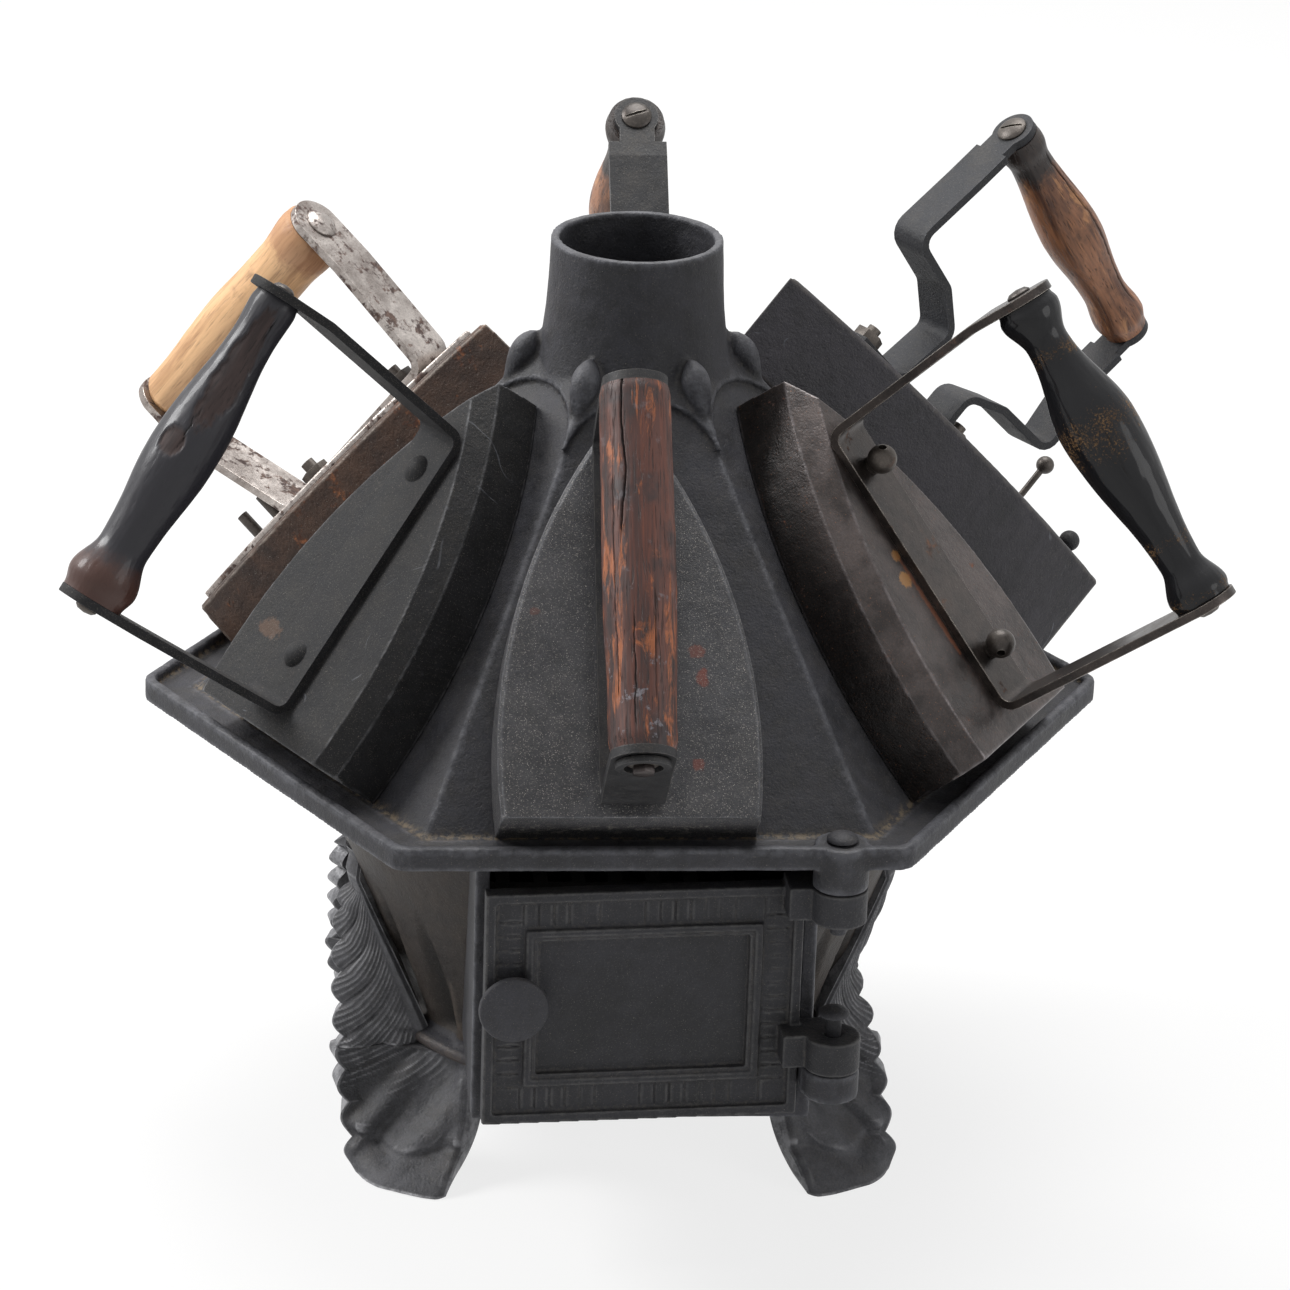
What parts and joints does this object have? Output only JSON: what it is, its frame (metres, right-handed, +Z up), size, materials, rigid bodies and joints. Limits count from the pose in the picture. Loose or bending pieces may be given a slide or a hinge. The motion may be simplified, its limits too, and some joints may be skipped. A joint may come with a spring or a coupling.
{
  "type": "cast-iron stove with flatirons",
  "caption": "Small cast-iron stove with a six-sided sloping hood, flue collar, hinged fire door and scalloped legs, heating wooden-handled flatirons that rest on its slopes.",
  "frame": {"origin": "point of the floor straight below the centre of the flue collar", "axes": "+Z up along the flue collar, -Y towards the fire door, +X to the right of someone who faces the door"},
  "size_m": [0.4646, 0.4853, 0.4039],
  "materials": {
    "stove_black": "old stove black over rough cast iron, satin, worn at the edges",
    "pot_smoked": "brown-black cast iron, smoked and dusty",
    "iron_grey": "dark grey iron with light specks and worn edges",
    "iron_rusted": "dark iron under a thin brown rust",
    "box_black": "bluish black iron with fine scratches",
    "strap_black": "black strap steel with rubbed edges",
    "strap_worn": "strap steel with the remains of plating and brown rust",
    "nickel": "dull nickel plate with stained patches",
    "fittings": "dull steel nuts, rods and pins with a little rust",
    "wood_dark": "red-brown turned wood with long open cracks",
    "wood_lacquer": "black lacquered wood rubbed brown in places",
    "wood_pale": "pale bare wood, straight grain",
    "wood_brown": "brown turned wood with dark cracks"
  },
  "bodies": {
    "stove": {"hood": "stove_black", "fire_pot": "pot_smoked", "mouth_box": "stove_black", "grate": "pot_smoked", "leg_front_left": "stove_black", "leg_front_right": "stove_black", "leg_back_left": "stove_black", "leg_back_right": "stove_black", "leg_bolts": "fittings", "leg_nuts": "fittings", "upper_hinge_pin": "stove_black", "lower_hinge_pin": "stove_black"},
    "door": {"fire_door": "stove_black", "door_knob": "stove_black"},
    "front_iron": {"front_iron_body": "iron_grey", "front_iron_strap": "strap_black", "front_iron_grip": "wood_dark", "front_iron_rod": "fittings", "front_iron_rivets": "strap_black"},
    "front_right_iron": {"front_right_iron_body": "iron_rusted", "front_right_iron_strap": "strap_worn", "front_right_iron_grip": "wood_lacquer", "front_right_iron_rod": "fittings", "front_right_iron_studs": "iron_rusted"},
    "box_iron": {"box_iron_body": "box_black", "box_iron_slug": "iron_rusted", "box_iron_front_bracket": "box_black", "box_iron_rear_bracket": "box_black", "box_iron_bracket_studs": "box_black", "box_iron_grip": "wood_brown", "box_iron_rod": "fittings", "box_iron_heel_knob": "box_black"},
    "box_iron_gate": {"box_iron_gate": "box_black", "box_iron_gate_lifter": "box_black"},
    "back_iron": {"back_iron_body": "iron_grey", "back_iron_strap": "strap_black", "back_iron_grip": "wood_dark", "back_iron_rod": "fittings", "back_iron_rivets": "strap_black"},
    "back_left_iron": {"back_left_iron_body": "iron_rusted", "back_left_iron_cover": "nickel", "back_left_iron_strap": "nickel", "back_left_iron_grip": "wood_pale", "back_left_iron_rod": "fittings", "back_left_iron_bolts": "fittings", "back_left_iron_pins": "fittings"},
    "front_left_iron": {"front_left_iron_body": "iron_grey", "front_left_iron_strap": "strap_black", "front_left_iron_grip": "wood_lacquer", "front_left_iron_rod": "fittings", "front_left_iron_rivets": "strap_black"}
  },
  "joints": [
    {"name": "door_hinge", "type": "hinge", "parent": "stove", "child": "door", "pos_m": [0.074, -0.16601, 0.135], "axis": [0, 0, 1], "range_deg": [-4, 110]},
    {"name": "front_iron_lift", "type": "slide", "parent": "stove", "child": "front_iron", "axis": [0, -0.7771, 0.6293], "range_m": [0, 0.2]},
    {"name": "front_right_iron_lift", "type": "slide", "parent": "stove", "child": "front_right_iron", "axis": [0.673, -0.3886, 0.6293], "range_m": [0, 0.2]},
    {"name": "back_iron_lift", "type": "slide", "parent": "stove", "child": "back_iron", "axis": [0, 0.7771, 0.6293], "range_m": [0, 0.2]},
    {"name": "back_left_iron_lift", "type": "slide", "parent": "stove", "child": "back_left_iron", "axis": [-0.673, 0.3886, 0.6293], "range_m": [0, 0.2]},
    {"name": "front_left_iron_lift", "type": "slide", "parent": "stove", "child": "front_left_iron", "axis": [-0.673, -0.3886, 0.6293], "range_m": [0, 0.2]},
    {"name": "box_iron_lift", "type": "slide", "parent": "stove", "child": "box_iron", "axis": [0.6334, 0.3657, 0.682], "range_m": [0, 0.2]},
    {"name": "box_iron_gate_lift", "type": "slide", "parent": "box_iron", "child": "box_iron_gate", "axis": [0.6334, 0.3657, 0.682], "range_m": [0, 0.03]}
  ]
}
